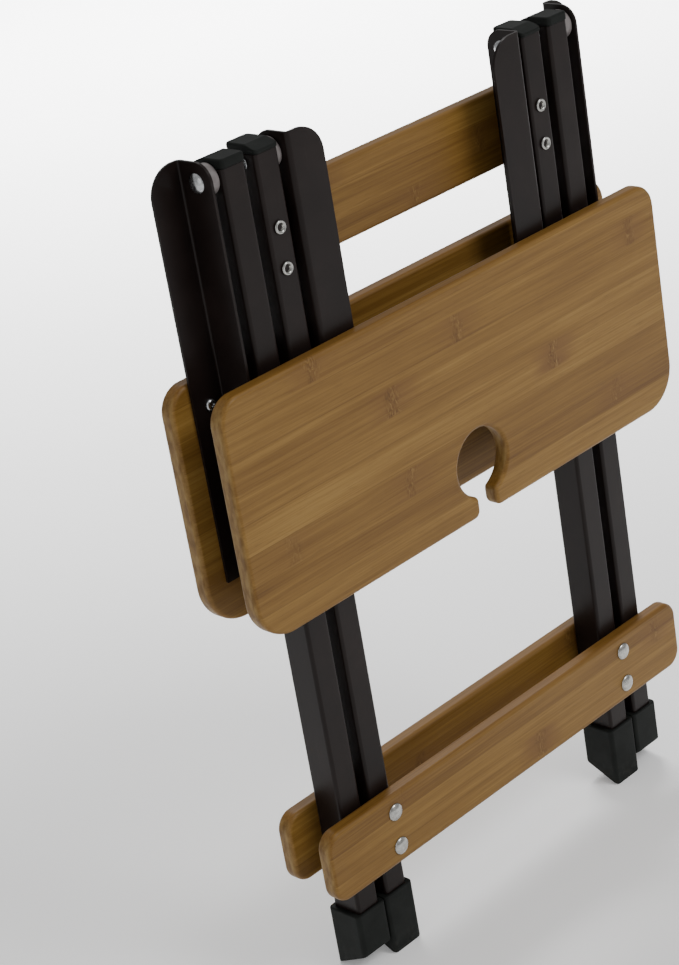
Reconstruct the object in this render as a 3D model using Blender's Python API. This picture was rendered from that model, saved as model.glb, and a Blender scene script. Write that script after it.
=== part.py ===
# Folding tray table, shown folded flat and standing on its feet.
#
# Two pairs of rectangular tube legs cross as scissors. A bamboo leaf hangs on
# two angle rails from the top of each pair: the front leaf from the inner
# legs, the back leaf from the outer legs. Bamboo crossbars tie each pair.
#
# Metres, +Z up, +X to the right, the front faces -Y. The origin is on the
# floor, midway between the legs. Opened out, the inner legs' tops go back
# (+Y), the outer legs' tops come forward, and both leaves swing up.

import math

import bmesh
import bpy
from mathutils import Vector

# ----------------------------------------------------------------- dimensions
GAP = 0.0003              # clearance left between pieces that touch

PIVOT_Z = 0.578           # leaf pivots above the floor, legs upright
ARM = 0.288               # from a leaf pivot down to the scissor pivot
SCISSOR_Z = PIVOT_Z - ARM
TOP_EDGE = 0.1245         # from a pivot to its leaf's near edge
SPREAD = math.asin(TOP_EDGE / ARM)    # each leg's lean when fully opened

TUBE_X = 0.020            # leg tube, across the table
TUBE_Y = 0.025            # leg tube, front to back
TUBE_R = 0.0026           # its corner radius
WALL = 0.0015             # its wall
INNER_X = 0.126           # inner legs' centre line
OUTER_X = 0.154           # outer legs' centre line
TUBE_BOTTOM = 0.020       # tube's lower end, inside its foot
TUBE_TOP = 0.0062         # tube's upper end above the pivot

LEAF_W = 0.430            # bamboo leaf
LEAF_H = 0.169
LEAF_T = 0.012
LEAF_R_OUTER = 0.030      # corners of its outer edge (down when folded)
LEAF_R_INNER = 0.018      # corners of the edge that meets the other leaf
LEAF_EDGE = 0.0032        # rounding over of the bamboo's edges
NOTCH_R = 0.0245          # glass notch: round hole
NOTCH_UP = 0.0375          # its centre above the outer edge
NOTCH_X = 0.0045          # its place across the leaf
NOTCH_NECK = 0.0165       # width of the slot that leads into it
NOTCH_LIP = 0.006         # rounding where the slot meets the edge
NOTCH_SHOULDER = 0.004    # rounding where the slot meets the hole

RAIL_T = 0.0020           # angle rail
INNER_FLANGE = 0.0293     # side of the angle that carries the leaf
OUTER_FLANGE = 0.0265
RAIL_WEB = 0.0290         # side of the angle that carries the pivot
RAIL_FACE = 0.0163        # flange's outer face from the legs' centre plane
RAIL_TOP = 0.0132         # above the pivot
RAIL_END = 0.263          # below the pivot
RAIL_WEB_R = 0.0125       # rounded free corners at the top
RAIL_FLANGE_R = 0.020
INNER_WEB_X = 0.111       # web's face towards the inner leg
OUTER_WEB_X = 0.172       # web's face towards the outer leg

BAR_T = 0.012             # bamboo crossbars
BAR_H = 0.0536
BAR_CORNER = 0.013
BAR_EDGE = 0.0032
LOW_BAR_HALF = 0.191      # half length of the two lower crossbars
TOP_BAR_HALF = 0.140      # half length of the upper one
FRONT_BAR_Z = PIVOT_Z - 0.478
REAR_BAR_Z = PIVOT_Z - 0.4742
TOP_BAR_Z = PIVOT_Z - 0.0565
RIVET_PITCH = 0.027

FOOT_X = 0.0277           # plastic foot, outside
FOOT_Y = 0.0295
FOOT_TOP = 0.047
FOOT_FLOOR = TUBE_BOTTOM - GAP
FOOT_SLOPE = math.tan(SPREAD)

CAP_X = 0.0200            # cap on the tube's upper end
CAP_Y = 0.0272
CAP_T = 0.0060
CAP_RUN = 0.0095          # chamfer along its top, front to back
CAP_DROP = 0.0036         # and how far that falls

SHANK_R = 0.0030          # pivots
HOLE_R = SHANK_R + GAP
SCREW_R = 0.0018          # leaf screws
RIVET_SHANK_R = 0.0025    # crossbar rivets

# ------------------------------------------------------------------- clearing
for old in list(bpy.data.objects):
    bpy.data.objects.remove(old, do_unlink=True)

# ------------------------------------------------------------------ materials
FINISH = {
    "bamboo": ((0.400, 0.235, 0.100), 0.42, 0.0),
    "brown_paint": ((0.052, 0.036, 0.033), 0.38, 0.35),
    "black_plastic": ((0.020, 0.023, 0.022), 0.55, 0.0),
    "grey_nylon": ((0.420, 0.400, 0.385), 0.50, 0.0),
    "zinc_steel": ((0.640, 0.650, 0.660), 0.28, 1.0),
}


def material(name, finish):
    colour, rough, metal = FINISH[finish]
    mat = bpy.data.materials.new(name + "_" + finish)
    mat.use_nodes = True
    bsdf = mat.node_tree.nodes["Principled BSDF"]
    bsdf.inputs["Base Color"].default_value = (*colour, 1.0)
    bsdf.inputs["Roughness"].default_value = rough
    bsdf.inputs["Metallic"].default_value = metal
    return mat


# -------------------------------------------------------------------- helpers
def empty(name, where):
    axis = bpy.data.objects.new(name, None)
    axis.location = where
    bpy.context.collection.objects.link(axis)
    return axis


def cut(bm, cutters):
    """Take the cutters' meshes out of bm and hand back the new bmesh."""
    body_mesh = bpy.data.meshes.new("body")
    bm.to_mesh(body_mesh)
    bm.free()
    tool = bmesh.new()
    for c in cutters:
        part = bpy.data.meshes.new("c")
        c.to_mesh(part)
        c.free()
        tool.from_mesh(part)
        bpy.data.meshes.remove(part)
    tool_mesh = bpy.data.meshes.new("tool")
    tool.to_mesh(tool_mesh)
    tool.free()
    body = bpy.data.objects.new("cut_body", body_mesh)
    knife = bpy.data.objects.new("cut_tool", tool_mesh)
    knife.hide_render = True
    knife.display_type = "WIRE"
    bpy.context.collection.objects.link(body)
    bpy.context.collection.objects.link(knife)
    mod = body.modifiers.new("holes", "BOOLEAN")
    mod.operation = "DIFFERENCE"
    mod.solver = "EXACT"
    mod.object = knife
    bpy.context.view_layer.update()
    seen = body.evaluated_get(bpy.context.evaluated_depsgraph_get())
    out = bmesh.new()
    out.from_mesh(seen.to_mesh())
    seen.to_mesh_clear()
    bpy.data.objects.remove(body, do_unlink=True)
    bpy.data.objects.remove(knife, do_unlink=True)
    return out


def place(name, bm, finish, where, parent=None, sharp=35.0):
    """Make an object from a bmesh in world coordinates, its origin at where."""
    bmesh.ops.remove_doubles(bm, verts=bm.verts, dist=1e-6)
    bmesh.ops.recalc_face_normals(bm, faces=bm.faces)
    origin = Vector(where)
    bmesh.ops.translate(bm, verts=bm.verts, vec=-origin)
    mesh = bpy.data.meshes.new(name)
    bm.to_mesh(mesh)
    bm.free()
    mesh.shade_smooth()
    mesh.set_sharp_from_angle(angle=math.radians(sharp))
    mesh.materials.append(material(name, finish))
    obj = bpy.data.objects.new(name, mesh)
    obj.location = origin
    bpy.context.collection.objects.link(obj)
    if parent is not None:
        obj.parent = parent
        obj.location = origin - parent.location
    return obj


def rounded_rect(w, h, radii, steps):
    """Counter-clockwise outline about the origin; radii from the lower left."""
    pts = []
    corners = ((-1, -1, 180), (1, -1, 270), (1, 1, 0), (-1, 1, 90))
    for (sx, sy, start), r in zip(corners, radii):
        cx, cy = sx * (w / 2 - r), sy * (h / 2 - r)
        for i in range(steps + 1):
            a = math.radians(start + 90.0 * i / steps)
            pts.append((cx + r * math.cos(a), cy + r * math.sin(a)))
    return pts


def slab(outline, y0, y1, dx, dz, edge, segments):
    """Flat board in the XZ plane between y0 and y1, its edges rounded over."""
    bm = bmesh.new()
    face = bm.faces.new([bm.verts.new((x + dx, y0, z + dz)) for x, z in outline])
    out = bmesh.ops.extrude_face_region(bm, geom=[face])
    moved = [v for v in out["geom"] if isinstance(v, bmesh.types.BMVert)]
    bmesh.ops.translate(bm, verts=moved, vec=(0, y1 - y0, 0))
    bmesh.ops.recalc_face_normals(bm, faces=bm.faces)
    rims = [e for e in bm.edges
            if abs(e.verts[0].co.y - e.verts[1].co.y) < 1e-7]
    bmesh.ops.bevel(bm, geom=rims, offset=edge, segments=segments,
                    profile=0.5, affect="EDGES", clamp_overlap=False)
    return bm


def along(axis, u, v, t):
    """Point at t along the axis, and at u, v across it."""
    return {"X": (t, u, v), "Y": (v, t, u), "Z": (u, v, t)}[axis]


def lathe(profile, axis, centre, steps):
    """Turn (radius, position) pairs round an axis; ends at r 0 are closed."""
    bm = bmesh.new()
    rings = []
    for r, t in profile:
        if r < 1e-9:
            co = Vector(along(axis, 0, 0, t)) + Vector(centre)
            rings.append([bm.verts.new(co)])
            continue
        ring = []
        for i in range(steps):
            a = 2 * math.pi * (i + 0.5) / steps
            co = Vector(along(axis, r * math.cos(a), r * math.sin(a), t))
            ring.append(bm.verts.new(co + Vector(centre)))
        rings.append(ring)
    closed = len(rings[0]) > 1
    pairs = list(zip(rings, rings[1:]))
    if closed:
        pairs.append((rings[-1], rings[0]))
    for a, b in pairs:
        for i in range(steps):
            j = (i + 1) % steps
            if len(a) == 1:
                bm.faces.new((a[0], b[i], b[j]))
            elif len(b) == 1:
                bm.faces.new((a[i], a[j], b[0]))
            else:
                bm.faces.new((a[i], a[j], b[j], b[i]))
    bmesh.ops.recalc_face_normals(bm, faces=bm.faces)
    return bm


def rod(axis, centre, radius, length, steps=16):
    h = length / 2
    return lathe([(0, -h), (radius, -h), (radius, h), (0, h)], axis, centre,
                 steps)


def loft(rings, cap_first=True, cap_last=True):
    """Join rings of equal length into one closed skin."""
    bm = bmesh.new()
    vr = [[bm.verts.new(p) for p in ring] for ring in rings]
    n = len(vr[0])
    for a, b in zip(vr, vr[1:]):
        for i in range(n):
            j = (i + 1) % n
            bm.faces.new((a[i], a[j], b[j], b[i]))
    if cap_first:
        bm.faces.new(vr[0])
    if cap_last:
        bm.faces.new(vr[-1])
    if not cap_first and not cap_last:
        for i in range(n):
            j = (i + 1) % n
            bm.faces.new((vr[-1][i], vr[-1][j], vr[0][j], vr[0][i]))
    bmesh.ops.recalc_face_normals(bm, faces=bm.faces)
    return bm


def tube_ring(x, wide, deep, radius, z_of_y, steps=3):
    pts = rounded_rect(wide, deep, [radius] * 4, steps)
    return [(x + px, py, z_of_y(py)) for px, py in pts]


# ----------------------------------------------------------------- joint axes
# The outer frame stays put. The inner frame turns on the scissor axis, and
# each leaf turns on the pivots at the top of its own pair of legs.
scissor_axis = empty("scissor_axis", (0, 0, SCISSOR_Z))
front_leaf_axis = empty("front_leaf_axis", (0, 0, PIVOT_Z))
back_leaf_axis = empty("back_leaf_axis", (0, 0, PIVOT_Z))

SIDES = (("left", -1), ("right", 1))

# --------------------------------------------------------------------- leaves
LEAF_CORNERS = [LEAF_R_OUTER, LEAF_R_OUTER, LEAF_R_INNER, LEAF_R_INNER]


def notch_outline():
    """Leaf outline with the glass notch let into its lower edge."""
    pts = rounded_rect(LEAF_W, LEAF_H, LEAF_CORNERS, 7)
    half = NOTCH_NECK / 2
    base = -LEAF_H / 2
    cz = base + NOTCH_UP
    lip = NOTCH_LIP
    sh = NOTCH_SHOULDER
    # the slot walls meet the hole through a small rounding at each shoulder
    reach = math.sqrt((NOTCH_R + sh) ** 2 - (half + sh) ** 2)
    lean = math.atan2(half + sh, reach)
    notch = []
    for i in range(5):                                   # left lip
        a = math.radians(90.0 * i / 4)
        notch.append((-half - lip + lip * math.sin(a),
                      base + lip - lip * math.cos(a)))
    for i in range(4):                                   # left shoulder
        a = (math.pi / 2 - lean) * i / 3
        notch.append((-half - sh + sh * math.cos(a),
                      cz - reach + sh * math.sin(a)))
    turns = 20
    start = -math.pi / 2 - lean
    sweep = 2 * math.pi - 2 * lean
    for i in range(1, turns):                            # round hole
        a = start - sweep * i / turns
        notch.append((NOTCH_R * math.cos(a), cz + NOTCH_R * math.sin(a)))
    mirror = [(-x, z) for x, z in notch[:9]]
    notch += list(reversed(mirror))
    notch = [(x + NOTCH_X, z) for x, z in notch]
    return pts[:8] + notch + pts[8:]


def screw_holes(xs, zs, y0, y1):
    mid = (y0 + y1) / 2
    return [rod("Y", (x, mid, z), SCREW_R + GAP, abs(y1 - y0), 12)
            for x in xs for z in zs]


SCREW_Z = (PIVOT_Z - 0.143, PIVOT_Z - 0.250)
SCREW_IN = 0.0085         # depth of each screw in the bamboo
FRONT_SCREW_X = 0.096
BACK_SCREW_X = 0.185

leaf_in = RAIL_FACE + GAP
leaf_out = leaf_in + LEAF_T
leaf_z = PIVOT_Z - TOP_EDGE - LEAF_H / 2

bm = slab(notch_outline(), -leaf_out, -leaf_in, 0, leaf_z, LEAF_EDGE, 3)
bm = cut(bm, screw_holes((-FRONT_SCREW_X, FRONT_SCREW_X), SCREW_Z,
                         -leaf_in - SCREW_IN - GAP, -leaf_in + 0.002))
place("front_leaf", bm, "bamboo", (0, -leaf_out, leaf_z), front_leaf_axis)

bm = slab(rounded_rect(LEAF_W, LEAF_H, LEAF_CORNERS, 7), leaf_in, leaf_out,
          0, leaf_z, LEAF_EDGE, 3)
bm = cut(bm, screw_holes((-BACK_SCREW_X, BACK_SCREW_X), SCREW_Z,
                         leaf_in - 0.002, leaf_in + SCREW_IN + GAP))
place("back_leaf", bm, "bamboo", (0, leaf_out, leaf_z), back_leaf_axis)

# ---------------------------------------------------------------- angle rails
BEND = 0.0034             # outside radius of the fold


def rail(name, web_x, turn, face_sign, flange, screw_x, parent):
    """Angle rail. web_x is the web's face towards the leg, turn the way the
    flange runs from the web in X, face_sign the way the flange faces in Y."""
    stations = []         # (x, y) outside, (x, y) inside, height of the top

    def drop(s, length, radius):
        over = s - (length - radius)
        if over <= 0:
            return RAIL_TOP
        return RAIL_TOP - radius + math.sqrt(max(radius ** 2 - over ** 2, 0))

    face = face_sign * RAIL_FACE
    inward = -face_sign

    def web_at(s):
        return ((web_x, face + inward * s),
                (web_x + turn * RAIL_T, face + inward * s))

    def flange_at(s):
        return ((web_x + turn * s, face),
                (web_x + turn * s, face + inward * RAIL_T))

    n = 9
    for i in range(n + 1):            # web, from its free edge to the fold
        a = math.pi / 2 * i / n
        s = RAIL_WEB - RAIL_WEB_R + RAIL_WEB_R * math.cos(a)
        stations.append((*web_at(s), drop(s, RAIL_WEB, RAIL_WEB_R)))
    for i in range(4):                # the fold
        a = math.pi / 2 * i / 3
        cx = web_x + turn * BEND
        cy = face + inward * BEND
        out = (cx - turn * BEND * math.cos(a), cy - inward * BEND * math.sin(a))
        r = BEND - RAIL_T
        inn = (cx - turn * r * math.cos(a), cy - inward * r * math.sin(a))
        stations.append((out, inn, RAIL_TOP))
    for i in range(n + 1):            # flange, from the fold to its free edge
        a = math.pi / 2 * (1 - i / n)
        s = flange - RAIL_FLANGE_R + RAIL_FLANGE_R * math.cos(a)
        stations.append((*flange_at(s), drop(s, flange, RAIL_FLANGE_R)))

    bm = bmesh.new()
    low = PIVOT_Z - RAIL_END
    cols = []
    for out, inn, top in stations:
        z = PIVOT_Z + top
        cols.append([bm.verts.new((*out, low)), bm.verts.new((*out, z)),
                     bm.verts.new((*inn, z)), bm.verts.new((*inn, low))])
    for a, b in zip(cols, cols[1:]):
        for i in range(4):
            j = (i + 1) % 4
            bm.faces.new((a[i], a[j], b[j], b[i]))
    bm.faces.new(cols[0])
    bm.faces.new(cols[-1])
    bmesh.ops.recalc_face_normals(bm, faces=bm.faces)

    holes = [rod("X", (web_x, 0, PIVOT_Z), HOLE_R, 0.010)]
    holes += [rod("Y", (screw_x, face, z), SCREW_R + GAP, 0.010, 12)
              for z in SCREW_Z]
    place(name, cut(bm, holes), "brown_paint", (web_x, 0, PIVOT_Z), parent, 30)


for side, s in SIDES:
    rail("front_leaf_rail_" + side, s * INNER_WEB_X, -s, -1,
         INNER_FLANGE, s * FRONT_SCREW_X, front_leaf_axis)
    rail("back_leaf_rail_" + side, s * OUTER_WEB_X, s, 1, OUTER_FLANGE,
         s * BACK_SCREW_X, back_leaf_axis)

# ----------------------------------------------------------------------- legs
# The sole of each foot slopes, so that it lies flat once the leg leans, and
# its cap is chamfered on the side that turns away. lean is +1 where the top
# leans back (+Y) in use, -1 where it leans forward.


def tube_end():
    return PIVOT_Z + TUBE_TOP


def leg(name, x, lean, drill_x, drill_y, parent):
    def top(y):
        return tube_end()

    def bottom(y):
        return TUBE_BOTTOM

    bx, by = TUBE_X - 2 * WALL, TUBE_Y - 2 * WALL
    bm = loft([
        tube_ring(x, TUBE_X, TUBE_Y, TUBE_R, bottom),
        tube_ring(x, TUBE_X, TUBE_Y, TUBE_R, top),
        tube_ring(x, bx, by, TUBE_R - WALL, top),
        tube_ring(x, bx, by, TUBE_R - WALL, bottom),
    ], False, False)
    holes = [rod("X", (x, 0, z), HOLE_R, 0.040) for z in drill_x]
    for z, faces in drill_y:
        for f in faces:
            holes.append(rod("Y", (x, f * TUBE_Y / 2, z),
                             RIVET_SHANK_R + GAP, 0.008, 12))
    place(name, cut(bm, holes), "brown_paint", (x, 0, PIVOT_Z), parent, 30)


def pair(z):
    return (z - RIVET_PITCH / 2, z + RIVET_PITCH / 2)


for side, s in SIDES:
    leg("outer_leg_" + side, s * OUTER_X, -1, (PIVOT_Z, SCISSOR_Z),
        [(z, (1,)) for z in pair(REAR_BAR_Z)], None)
    leg("inner_leg_" + side, s * INNER_X, 1, (PIVOT_Z, SCISSOR_Z),
        [(z, (-1,)) for z in pair(FRONT_BAR_Z)]
        + [(z, (-1, 1)) for z in pair(TOP_BAR_Z)], scissor_axis)

# ----------------------------------------------------------------------- caps


def cap(name, x, lean, parent):
    seat = tube_end() + GAP

    def level(h):
        return lambda y: seat + h

    px, py = TUBE_X - 2 * WALL - 2 * GAP, TUBE_Y - 2 * WALL - 2 * GAP
    bm = loft([
        tube_ring(x, px, py, 0.0009, level(-0.0016)),
        tube_ring(x, px, py, 0.0009, level(0.0)),
        tube_ring(x, CAP_X, CAP_Y, 0.0029, level(0.0)),
        tube_ring(x, CAP_X, CAP_Y, 0.0029, level(CAP_T - 0.0010)),
        tube_ring(x, CAP_X - 0.0008, CAP_Y - 0.0008, 0.0027,
                  level(CAP_T - 0.0003)),
        tube_ring(x, CAP_X - 0.0022, CAP_Y - 0.0022, 0.0022, level(CAP_T)),
    ])
    out = bmesh.ops.bisect_plane(
        bm, geom=bm.verts[:] + bm.edges[:] + bm.faces[:], dist=1e-7,
        plane_co=(x, -lean * (CAP_Y / 2 - CAP_RUN), seat + CAP_T),
        plane_no=(0, -lean * CAP_DROP, CAP_RUN), clear_outer=True)
    bmesh.ops.contextual_create(bm, geom=[
        g for g in out["geom_cut"] if isinstance(g, bmesh.types.BMEdge)])
    place(name, bm, "black_plastic", (x, 0, seat), parent)


# ----------------------------------------------------------------------- feet


def foot(name, x, lean, parent):
    def under(y):
        return FOOT_SLOPE * (FOOT_Y / 2 + lean * y)

    def flat(z):
        return lambda y: z

    px, py = TUBE_X + 2 * GAP, TUBE_Y + 2 * GAP
    bm = loft([
        tube_ring(x, FOOT_X, FOOT_Y, 0.0034, under),
        tube_ring(x, FOOT_X, FOOT_Y, 0.0034, flat(FOOT_TOP - 0.0009)),
        tube_ring(x, FOOT_X - 0.0005, FOOT_Y - 0.0005, 0.0032,
                  flat(FOOT_TOP - 0.0003)),
        tube_ring(x, FOOT_X - 0.0016, FOOT_Y - 0.0016, 0.0029,
                  flat(FOOT_TOP)),
        tube_ring(x, px, py, TUBE_R, flat(FOOT_TOP)),
        tube_ring(x, px, py, TUBE_R, flat(FOOT_FLOOR)),
    ])
    place(name, bm, "black_plastic", (x, 0, FOOT_FLOOR), parent)


for side, s in SIDES:
    cap("outer_leg_cap_" + side, s * OUTER_X, -1, None)
    cap("inner_leg_cap_" + side, s * INNER_X, 1, scissor_axis)
    foot("outer_foot_" + side, s * OUTER_X, -1, None)
    foot("inner_foot_" + side, s * INNER_X, 1, scissor_axis)

# ------------------------------------------------------------------ crossbars


def crossbar(name, half, z, y_sign, leg_x, parent):
    inside = y_sign * (TUBE_Y / 2 + GAP)
    outside = y_sign * (TUBE_Y / 2 + GAP + BAR_T)
    bm = slab(rounded_rect(2 * half, BAR_H, [BAR_CORNER] * 4, 6),
              min(inside, outside), max(inside, outside), 0, z, BAR_EDGE, 3)
    holes = [rod("Y", (s * leg_x, (inside + outside) / 2, zz),
                 RIVET_SHANK_R + GAP, 0.030, 12)
             for s in (-1, 1) for zz in pair(z)]
    place(name, cut(bm, holes), "bamboo", (0, outside, z), parent)


crossbar("front_crossbar", LOW_BAR_HALF, FRONT_BAR_Z, -1, INNER_X, scissor_axis)
crossbar("top_crossbar", TOP_BAR_HALF, TOP_BAR_Z, 1, INNER_X, scissor_axis)
crossbar("rear_crossbar", LOW_BAR_HALF, REAR_BAR_Z, 1, OUTER_X, None)

# --------------------------------------------------------------------- rivets
# Tubular rivets with a domed head on the bamboo. The upper crossbar's go
# through the whole leg and end in a rolled ring on its front face. The lower
# crossbars' are set inside the leg, as the other crossbar passes its far face.
DOME = [(0, 0.0027), (0.0022, 0.0025), (0.0044, 0.0019), (0.0058, 0.0010),
        (0.0064, 0.0)]


def rivet(name, x, z, y_sign, through, parent):
    wood = y_sign * (TUBE_Y / 2 + GAP + BAR_T + GAP)
    profile = [(r, wood + y_sign * t) for r, t in DOME]
    profile.append((RIVET_SHANK_R, wood))
    if through:
        end = -y_sign * (TUBE_Y / 2 + GAP)
        profile += [(r, end - y_sign * t) for r, t in (
            (RIVET_SHANK_R, 0.0), (0.0043, 0.0), (0.0046, 0.0007),
            (0.0040, 0.0014), (0.0030, 0.0013), (0.0020, -0.0002),
            (0, -0.0006))]
    else:
        end = y_sign * (TUBE_Y / 2 - WALL - GAP)
        profile += [(r, end - y_sign * t) for r, t in (
            (RIVET_SHANK_R, 0.0), (0.0042, 0.0), (0.0042, 0.0008),
            (0.0030, 0.0016), (0, 0.0016))]
    place(name, lathe(profile, "Y", (x, 0, z), 20), "zinc_steel",
          (x, wood, z), parent, 50)


for side, s in SIDES:
    for k, level in enumerate(("lower", "upper")):
        tail = "_" + side + "_" + level
        rivet("front_rivet" + tail, s * INNER_X, pair(FRONT_BAR_Z)[k], -1,
              False, scissor_axis)
        rivet("top_rivet" + tail, s * INNER_X, pair(TOP_BAR_Z)[k], 1,
              True, scissor_axis)
        rivet("rear_rivet" + tail, s * OUTER_X, pair(REAR_BAR_Z)[k], 1,
              False, None)

# ------------------------------------------------------------ pivots, spacers
PIVOT_HEAD = [(0, 0.0028), (0.0024, 0.0026), (0.0046, 0.0019),
              (0.0060, 0.0010), (0.0065, 0.0)]
PIVOT_TAIL = [(0.0048, 0.0), (0.0048, 0.0007), (0.0036, 0.0014),
              (0.0016, 0.0016), (0, 0.0016)]


def pivot(name, x_head, x_tail, z, parent):
    """Riveted pivot pin from its domed head at x_head to its peened tail."""
    d = 1 if x_head > x_tail else -1
    profile = [(r, x_head + d * (t + GAP)) for r, t in PIVOT_HEAD]
    profile += [(SHANK_R, x_head + d * GAP), (SHANK_R, x_tail - d * GAP)]
    profile += [(r, x_tail - d * (t + GAP)) for r, t in PIVOT_TAIL]
    place(name, lathe(profile, "X", (0, 0, z), 20), "zinc_steel",
          (x_head, 0, z), parent, 50)


def spacer(name, x0, x1, z, parent, radius=0.0102):
    """Nylon washer between two pieces that turn against each other."""
    lo, hi = min(x0, x1) + GAP, max(x0, x1) - GAP
    c = 0.0006
    profile = [(HOLE_R, lo), (radius - c, lo), (radius, lo + c),
               (radius, hi - c), (radius - c, hi), (HOLE_R, hi)]
    place(name, lathe(profile, "X", (0, 0, z), 28), "grey_nylon",
          ((lo + hi) / 2, 0, z), parent)


for side, s in SIDES:
    outer_face = OUTER_X + TUBE_X / 2
    outer_back = OUTER_X - TUBE_X / 2
    inner_face = INNER_X + TUBE_X / 2
    inner_back = INNER_X - TUBE_X / 2
    pivot("back_leaf_pivot_" + side, s * (OUTER_WEB_X + RAIL_T), s * outer_back,
          PIVOT_Z, None)
    pivot("front_leaf_pivot_" + side, s * (INNER_WEB_X - RAIL_T), s * inner_face,
          PIVOT_Z, scissor_axis)
    pivot("scissor_pivot_" + side, s * outer_face, s * inner_back, SCISSOR_Z,
          None)
    spacer("back_leaf_spacer_" + side, s * outer_face, s * OUTER_WEB_X, PIVOT_Z,
           None)
    spacer("front_leaf_spacer_" + side, s * INNER_WEB_X, s * inner_back, PIVOT_Z,
           scissor_axis)
    spacer("scissor_spacer_" + side, s * inner_face, s * outer_back, SCISSOR_Z,
           None, 0.009)

# ---------------------------------------------------------------- leaf screws


def screw(name, x, z, y_sign, parent):
    """Pan-head screw through a rail's flange into the bamboo."""
    seat = y_sign * (RAIL_FACE - RAIL_T - GAP)
    tip = y_sign * (leaf_in + SCREW_IN)
    back = -y_sign
    profile = [
        (0, seat + back * 0.0013),
        (0.0010, seat + back * 0.0013),
        (0.0012, seat + back * 0.0021),
        (0.0033, seat + back * 0.0017),
        (0.0040, seat + back * 0.0009),
        (0.0040, seat),
        (SCREW_R, seat),
        (SCREW_R, tip + back * 0.0018),
        (0, tip),
    ]
    place(name, lathe(profile, "Y", (x, 0, z), 12), "zinc_steel",
          (x, seat, z), parent, 50)


for side, s in SIDES:
    for level, z in zip(("upper", "lower"), SCREW_Z):
        tail = "_" + side + "_" + level
        screw("front_leaf_screw" + tail, s * FRONT_SCREW_X, z, -1,
              front_leaf_axis)
        screw("back_leaf_screw" + tail, s * BACK_SCREW_X, z, 1,
              back_leaf_axis)
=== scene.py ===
import math

import bmesh
import bpy
from mathutils import Matrix, Vector


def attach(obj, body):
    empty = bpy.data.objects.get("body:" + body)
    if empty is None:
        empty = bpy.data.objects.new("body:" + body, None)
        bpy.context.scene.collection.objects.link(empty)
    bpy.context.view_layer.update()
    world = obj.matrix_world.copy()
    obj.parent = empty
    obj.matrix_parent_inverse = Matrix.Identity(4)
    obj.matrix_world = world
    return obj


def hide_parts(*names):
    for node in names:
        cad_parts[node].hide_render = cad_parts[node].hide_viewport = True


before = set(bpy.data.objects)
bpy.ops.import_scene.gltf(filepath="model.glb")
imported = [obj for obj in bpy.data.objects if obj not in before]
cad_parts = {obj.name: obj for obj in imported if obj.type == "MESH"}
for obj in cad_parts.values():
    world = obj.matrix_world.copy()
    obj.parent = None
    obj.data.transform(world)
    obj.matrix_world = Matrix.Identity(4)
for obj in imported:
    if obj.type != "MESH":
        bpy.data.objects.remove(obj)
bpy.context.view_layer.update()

# ------------------------------------------------------------- shared numbers
# The same design numbers as the CAD solids, in metres.
GAP = 0.0003
PIVOT_Z = 0.578
ARM = 0.288
SCISSOR_Z = PIVOT_Z - ARM
TOP_EDGE = 0.1245
SPREAD = math.asin(TOP_EDGE / ARM)
TUBE_X, TUBE_Y, TUBE_R, WALL = 0.020, 0.025, 0.0026, 0.0015
INNER_X, OUTER_X = 0.126, 0.154
TUBE_BOTTOM, TUBE_TOP = 0.020, 0.0062
LEAF_W, LEAF_H, LEAF_T = 0.430, 0.169, 0.012
LEAF_R_OUTER, LEAF_R_INNER, LEAF_EDGE = 0.030, 0.018, 0.0032
NOTCH_R, NOTCH_UP, NOTCH_NECK, NOTCH_X = 0.0245, 0.0375, 0.0165, 0.0045
NOTCH_LIP, NOTCH_SHOULDER = 0.006, 0.004
RAIL_T, RAIL_WEB, RAIL_FACE = 0.0020, 0.0290, 0.0163
INNER_FLANGE, OUTER_FLANGE = 0.0293, 0.0265
RAIL_TOP, RAIL_END, RAIL_WEB_R, RAIL_FLANGE_R = 0.0132, 0.263, 0.0125, 0.020
INNER_WEB_X, OUTER_WEB_X, BEND = 0.111, 0.172, 0.0034
BAR_T, BAR_H, BAR_CORNER, BAR_EDGE = 0.012, 0.0536, 0.013, 0.0032
LOW_BAR_HALF, TOP_BAR_HALF = 0.191, 0.140
FRONT_BAR_Z, REAR_BAR_Z = PIVOT_Z - 0.478, PIVOT_Z - 0.4742
TOP_BAR_Z = PIVOT_Z - 0.0565
RIVET_PITCH = 0.027
FOOT_X, FOOT_Y, FOOT_TOP = 0.0277, 0.0295, 0.047
FOOT_FLOOR = TUBE_BOTTOM - GAP
FOOT_SLOPE = math.tan(SPREAD)
CAP_X, CAP_Y, CAP_T = 0.0200, 0.0272, 0.0060
CAP_RUN, CAP_DROP = 0.0095, 0.0036
SHANK_R, SCREW_R, RIVET_SHANK_R = 0.0030, 0.0018, 0.0025
SCREW_Z = (PIVOT_Z - 0.143, PIVOT_Z - 0.250)
SCREW_IN = 0.0085
FRONT_SCREW_X, BACK_SCREW_X = 0.096, 0.185
leaf_in = RAIL_FACE + GAP
leaf_out = leaf_in + LEAF_T
leaf_z = PIVOT_Z - TOP_EDGE - LEAF_H / 2
SIDES = (("left", -1), ("right", 1))


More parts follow.
